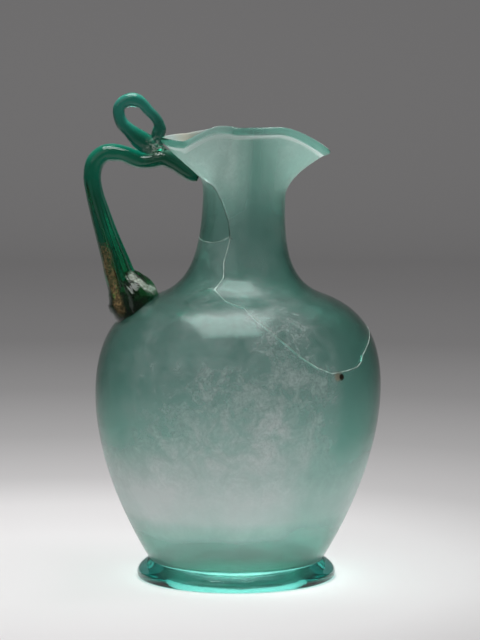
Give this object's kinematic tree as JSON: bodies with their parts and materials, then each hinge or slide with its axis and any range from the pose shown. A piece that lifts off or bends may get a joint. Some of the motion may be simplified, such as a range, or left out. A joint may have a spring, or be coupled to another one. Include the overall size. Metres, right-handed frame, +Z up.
{
  "type": "trefoil-mouthed glass jug",
  "caption": "Blown-glass wine jug with a pinched three-lobed mouth, an applied foot ring and a fluted handle that ends in a thumb loop.",
  "frame": {"origin": "centre of the bounding box, on the surface that the foot ring rests on", "axes": "+Z up, +X along the spout with the handle at -X, +Y to the jug's left when the spout points ahead"},
  "size_m": [0.1492, 0.1436, 0.2439],
  "materials": {
    "weathered_glass": "frosted, weathered blue-green glass",
    "clear_glass": "clear, glossy blue-green glass",
    "deep_glass": "clear, glossy deep green glass"
  },
  "bodies": {
    "root": {"body": "weathered_glass", "neck_and_mouth": "weathered_glass", "neck_fragment": "weathered_glass", "foot_ring": "clear_glass", "handle": "deep_glass", "thumb_loop": "deep_glass"}
  },
  "joints": []
}
